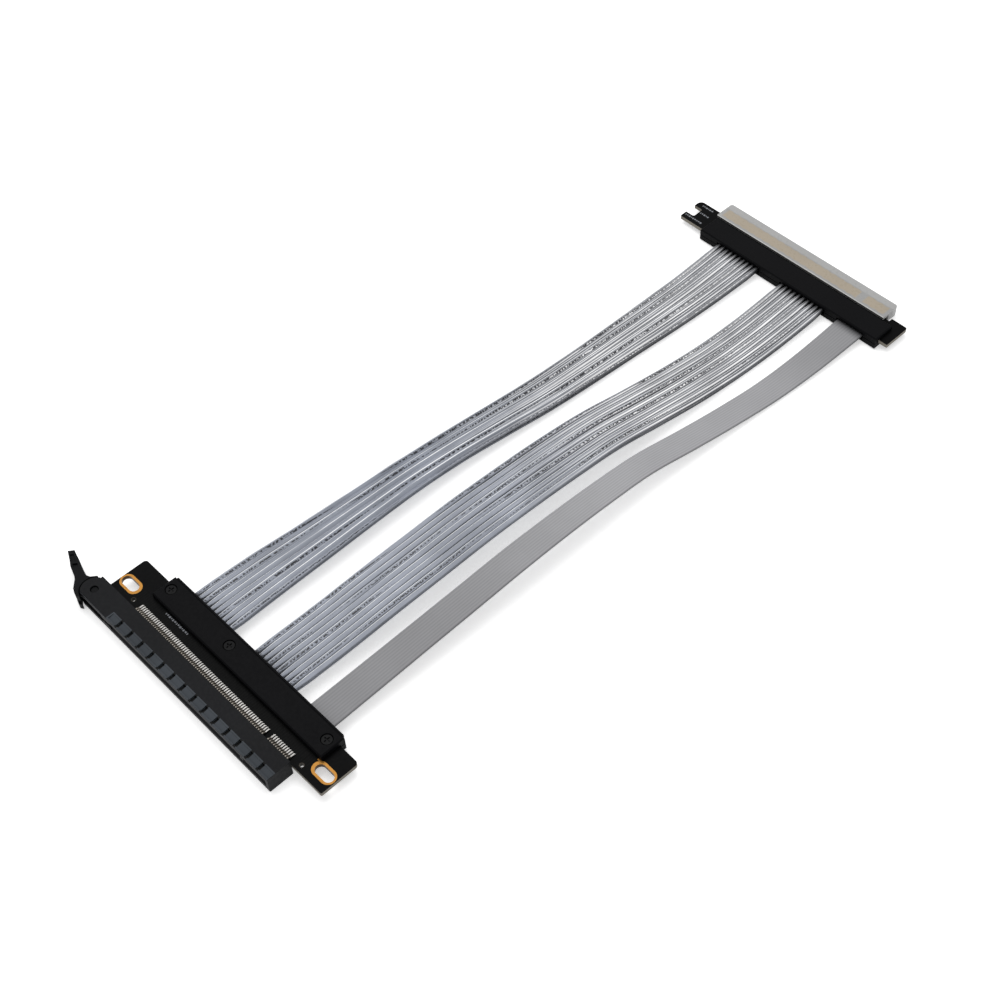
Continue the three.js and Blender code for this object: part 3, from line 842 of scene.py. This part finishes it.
def strip_faces(tree, along, across):
    """Blue-grey streaks, which turn brighter towards the plug and get a painted white highlight along a
    crest there.
    """
    late = ramp(tree, along, *BRIGHTENS)
    wander = strip_noise(tree, WANDER_RATES, 2.0)
    crest_place = calc(tree, "MULTIPLY_ADD", wander, CREST_WANDER, CREST_FIRST)
    # painted highlight along the crest of each strip
    crest = ramp(tree, off(tree, across, crest_place), *CREST_HIGHLIGHT, 1.0, 0.0)
    streak = ramp(tree, strip_noise(tree, STREAK_RATES, 3.0), *STREAK_STEP)
    dull = mixed(tree, late, FOIL_DULL, FOIL_DULL_LATE)
    pale = mixed(tree, late, FOIL_PALE, FOIL_PALE_LATE)
    return mixed(tree, product(tree, crest, late), mixed(tree, streak, dull, pale), FOIL_CREST_HIGHLIGHT)


def strip_edges(tree, along, across, base):
    """A painted highlight line at one edge, painted light on the faces that turn sideways, and painted
    shade along the other edge, where it meets the next strip.
    """
    shown = ramp(tree, strip_noise(tree, HIGHLIGHT_LINE_RATES, 2.0), *HIGHLIGHT_LINE_STEP, *EDGE_HIGHLIGHT_SHARE)
    # painted highlight line along one edge
    line = product(tree, between(tree, across, *EDGE_HIGHLIGHT_BAND), shown)
    base = mixed(tree, line, base, FOIL_EDGE_HIGHLIGHT)
    # painted light on the faces that turn sideways
    side = mixed(tree, ramp(tree, along, *BRIGHTENS), FOIL_SIDE_LIGHT, FOIL_SIDE_LIGHT_LATE)
    base = mixed(tree, ramp(tree, slope(tree), *SIDE_LIGHT_SLOPE, SIDE_LIGHT_SHARE, 0.0), base, side)
    # painted shade along the edge where a strip meets the next
    edge_shade = calc(tree, "LESS_THAN", across, EDGE_SHADE_WIDTH)
    edge_shade = product(tree, edge_shade, ramp(tree, along, *BRIGHTENS, *EDGE_SHADE_SHARE))
    return mixed(tree, edge_shade, base, FOIL_EDGE_SHADE)


def strip_type(tree, rows, along, number, across):
    """How much shows of the plain dashes that stand for fine type, on the strips with these numbers."""
    wanted = between(tree, number, rows[0] - 0.5, rows[0] + 0.5)
    for row in rows[1:]:
        wanted = calc(tree, "ADD", wanted, between(tree, number, row - 0.5, row + 0.5))
    run = ramp(tree, strip_noise(tree, RUN_RATES, 0.0), *RUN_STEP)
    dash = between(tree, strip_noise(tree, DASH_RATES, 1.0), DASH_FROM, 1.0)
    fading = ramp(tree, along, *TYPE_FADES, *TYPE_SHARE)
    return product(tree, dash, run, between(tree, across, *TYPE_BAND), fading, wanted)


def strip_colour(rows):
    """Silver wrap with rows of dashes on the strips with these numbers, and painted shadow at both ends,
    where the covers shade them.
    """

    def colour(tree):
        along, number, across = strip_coords(tree)
        base = strip_faces(tree, along, across)
        base = strip_edges(tree, along, across, base)
        base = mixed(tree, strip_type(tree, rows, along, number, across), base, FOIL_TYPE)
        # painted shadow at both ends, where the covers shade the strips
        socket_root_shadow = ramp(tree, along, *ROOT_SHADOW_AT_SOCKET, 1.0, 0.0)
        root_shadow = calc(tree, "MAXIMUM", socket_root_shadow, ramp(tree, along, *ROOT_SHADOW_AT_PLUG))
        return mixed(tree, product(tree, root_shadow, ROOT_SHADOW_SHARE), base, FOIL_ROOT_SHADOW)

    return colour


# Finish of the ribbon, in the same measures

WIRES = 11
WIRE_SHARE = 0.26
FILM_PALES = (40.0, 150.0)
FILM_DARKENS = (200.0, 258.0)
FILM_EDGE_FROM = (0.475, 0.498)  # off its middle line
FILM_EDGE_SHARE = 0.6
# painted shadow where the ribbon runs under the plug cover
FILM_ROOT_SHADOW_FROM = (260.0, 264.5)
FILM_ROOT_SHADOW_SHARE = 0.8


def ribbon_colour(tree):
    """Grey film over fine wires, paler half way along, darker at its edges, and with painted shadow at the
    plug end, where the cover shades it.
    """
    along, _, across = strip_coords(tree)
    wires = calc(tree, "SINE", calc(tree, "MULTIPLY", across, 2 * math.pi * WIRES))
    tone = mixed(tree, ramp(tree, along, *FILM_PALES), FILM_SOCKET, FILM_MIDDLE)
    tone = mixed(tree, ramp(tree, along, *FILM_DARKENS), tone, FILM_PLUG)
    tone = mixed(tree, ramp(tree, wires, -1.0, 1.0, 0.0, WIRE_SHARE), tone, FILM_WIRE)
    edge = ramp(tree, off(tree, across, 0.5), *FILM_EDGE_FROM)
    tone = mixed(tree, product(tree, edge, FILM_EDGE_SHARE), tone, FILM_EDGE)
    # painted shadow at the plug end, where the cover shades the ribbon
    return mixed(tree, ramp(tree, along, *FILM_ROOT_SHADOW_FROM, 0.0, FILM_ROOT_SHADOW_SHARE), tone, FILM_ROOT_SHADOW)


# Finish of the clear cap

CAP_FRONT = PLUG_X + 11.8
# painted shade on the end face
END_FACE_SHADE = (CAP_FRONT + 0.03, CAP_FRONT + 0.12)
# painted highlight along the top edge of the mouth
MOUTH_HIGHLIGHT_LINE = (CAP_FRONT + 0.4, CAP_FRONT + 0.6)
BAND_START = (CAP_FRONT + 1.3, CAP_FRONT + 1.7)
BAND_END = (CAP_FRONT + 5.7, CAP_FRONT + 6.3)
BAND_NEAR_Y = (-52.4, -51.6)
BAND_FAR_Y = (31.2, 32.2)
BAND_WAVES = 1.6
WAVE_HEIGHT = 0.16
KEY_MIDDLE = -40.0
KEY_GAP = (1.3, 2.0)  # half its width, full and faded
RIM_START = (CAP_FRONT + 6.0, CAP_FRONT + 6.8)
SLEEVE_ALPHA = 0.8
RIM_EXTRA_ALPHA = 0.16


def under_cap(tree):
    """1 on the part of the sleeve that lies over the tongue, apart from the key's gap."""
    x, y, _ = place(tree)
    wave = calc(tree, "SINE", calc(tree, "MULTIPLY", y, BAND_WAVES))
    edge = calc(tree, "MULTIPLY_ADD", wave, WAVE_HEIGHT, x)
    starts = ramp(tree, edge, *BAND_START)
    ends = ramp(tree, edge, *BAND_END, 1.0, 0.0)
    near = ramp(tree, y, *BAND_NEAR_Y)
    far = ramp(tree, y, *BAND_FAR_Y, 1.0, 0.0)
    return product(tree, starts, ends, near, far, ramp(tree, off(tree, y, KEY_MIDDLE), *KEY_GAP))


def cap_colour(tree):
    """Milky plastic, warmer over the tongue, with a painted highlight along the mouth over painted shade
    on the end face.
    """
    x, _, _ = place(tree)
    # painted highlight along the mouth
    body = mixed(tree, ramp(tree, x, *MOUTH_HIGHLIGHT_LINE), CAP_MOUTH_HIGHLIGHT, CAP_MILKY)
    body = mixed(tree, under_cap(tree), body, CAP_WARM)
    # painted shade on the end face
    return mixed(tree, ramp(tree, x, *END_FACE_SHADE), CAP_END_FACE_SHADE, body)


def thin_out(material):
    """Lets the sleeve over the fingers be seen through a little, and its solid rim hardly at all."""
    tree = material.node_tree
    x, _, _ = place(tree)
    rim = ramp(tree, x, *RIM_START, 0.0, RIM_EXTRA_ALPHA)
    alpha = calc(tree, "ADD", rim, SLEEVE_ALPHA)
    tree.links.new(alpha, tree.nodes["Principled BSDF"].inputs["Alpha"])


# Materials on the pieces

FOIL = {"rough": 0.38, "metal": 0.05, "specular": 0.3, "grain": 500.0, "bump": 0.15}
TYPE_ROWS_1 = (0, 3, 7, 9)
TYPE_ROWS_2 = (1, 4, 6, 9)

housing = finish_of("housing plastic", housing_colour, rough=0.5, specular=0.09)
latch_plastic = finish_of("latch plastic", LATCH_BLACK, rough=0.42, specular=0.06)
tin = finish_of("tinned contacts", contact_colour, rough=0.34, metal=0.5)
bright_tin = finish_of("bright tin", BRIGHT_TIN, rough=0.36, metal=0.5)
gold = finish_of("gold plating", plating_colour, rough=0.34, metal=0.7)
finger_gold = finish_of("finger plating", FINGER_TAN, rough=0.4, metal=0.1)
mask = finish_of("solder mask", board_colour, rough=0.42, specular=0.035)
cover = finish_of("cover plastic", COVER_BLACK, rough=0.5, specular=0.045)
blacked = finish_of("blackened screw", SCREW_BLACK, rough=0.42, specular=0.08)
print_white = finish_of("print", PRINT_GREY, rough=0.6)
foil_1 = finish_of("foil wrap one", strip_colour(TYPE_ROWS_1), **FOIL)
foil_2 = finish_of("foil wrap two", strip_colour(TYPE_ROWS_2), **FOIL)
film = finish_of("ribbon film", ribbon_colour, rough=0.42, specular=0.3, spread=0.03)
clear = finish_of("clear cap", cap_colour, rough=0.3, specular=0.4, spread=0.03)
thin_out(clear)


def dress(obj, material):
    obj.data.materials.clear()
    obj.data.materials.append(material)


for word, material in (("screw", blacked), ("cover", cover), ("board", mask), ("contact", tin)):
    for name, node in nodes.items():
        if word in name:
            dress(node, material)
dress(nodes["slot_housing"], housing)
dress(nodes["card_latch"], latch_plastic)
dress(nodes["finger_cap"], clear)
dress(group_1, foil_1)
dress(group_2, foil_2)
dress(ribbon, film)
dress(solder, bright_tin)
dress(springs, bright_tin)
dress(fingers, finger_gold)
dress(marks, print_white)
dress(plating, gold)
dress(lip, cover)


# Softened edges

SOFT_EDGES = {
    "slot_housing": 0.14,
    "card_latch": 0.18,
    "socket_cover_upper": 0.22,
    "socket_cover_lower": 0.22,
    "plug_cover_upper": 0.3,
    "plug_cover_lower": 0.22,
    "finger_cap": 0.22,
}
SHARPER_THAN = 40  # degrees


def soften(name, width):
    edge = nodes[name].modifiers.new("edges", "BEVEL")
    edge.width = width * MM
    edge.segments = 2
    edge.limit_method = "ANGLE"
    edge.angle_limit = math.radians(SHARPER_THAN)


for name, width in SOFT_EDGES.items():
    soften(name, width)


# Floor, world and lamps

FLOOR_SIZE = 6
FLOOR_DROP = 0.0001
FLOOR_WHITE = 0.95
FLOOR_GLOW = 0.45
STUDIO_LEVEL = 0.62


def seen_directly(tree):
    """1 for what the camera sees directly, in a reflection or through something clear."""
    path = tree.nodes.new("ShaderNodeLightPath")
    seen = calc(tree, "MAXIMUM", path.outputs["Is Camera Ray"], path.outputs["Is Glossy Ray"])
    return calc(tree, "MAXIMUM", seen, path.outputs["Is Transmission Ray"])


def make_floor():
    """A plain white floor that keeps the object's shadow."""
    bpy.ops.mesh.primitive_plane_add(size=FLOOR_SIZE, location=(0, 0, -FLOOR_DROP))
    floor = bpy.context.object
    floor.name = "floor"
    material = bpy.data.materials.new("floor white")
    material.use_nodes = True
    shader = material.node_tree.nodes["Principled BSDF"]
    shader.inputs["Base Color"].default_value = (FLOOR_WHITE, FLOOR_WHITE, FLOOR_WHITE, 1)
    shader.inputs["Roughness"].default_value = 0.9
    shader.inputs["Specular IOR Level"].default_value = 0.0
    shader.inputs["Emission Color"].default_value = (1, 1, 1, 1)
    tree = material.node_tree
    glow = calc(tree, "MULTIPLY", seen_directly(tree), FLOOR_GLOW)
    tree.links.new(glow, shader.inputs["Emission Strength"])
    floor.data.materials.append(material)


def make_world():
    """White where it is seen directly, in a reflection or through the cap; softer as light."""
    world = bpy.data.worlds.new("studio")
    bpy.context.scene.world = world
    world.use_nodes = True
    tree = world.node_tree
    background = tree.nodes["Background"]
    background.inputs["Color"].default_value = (1, 1, 1, 1)
    level = calc(tree, "MULTIPLY_ADD", seen_directly(tree), 1 - STUDIO_LEVEL, STUDIO_LEVEL)
    tree.links.new(level, background.inputs["Strength"])


def make_lamp(name, spot, size, power):
    """A square lamp that looks at the origin, with its power in watts."""
    data = bpy.data.lights.new(name, "AREA")
    data.size = size
    data.energy = power
    lamp = bpy.data.objects.new(name, data)
    bpy.context.scene.collection.objects.link(lamp)
    lamp.location = spot
    lamp.rotation_euler = (-Vector(spot)).to_track_quat("-Z", "Y").to_euler()


make_floor()
make_world()
make_lamp("top", spot=(0.15, 0.35, 0.9), size=0.8, power=4.2)
bpy.context.scene.view_settings.view_transform = "Standard"
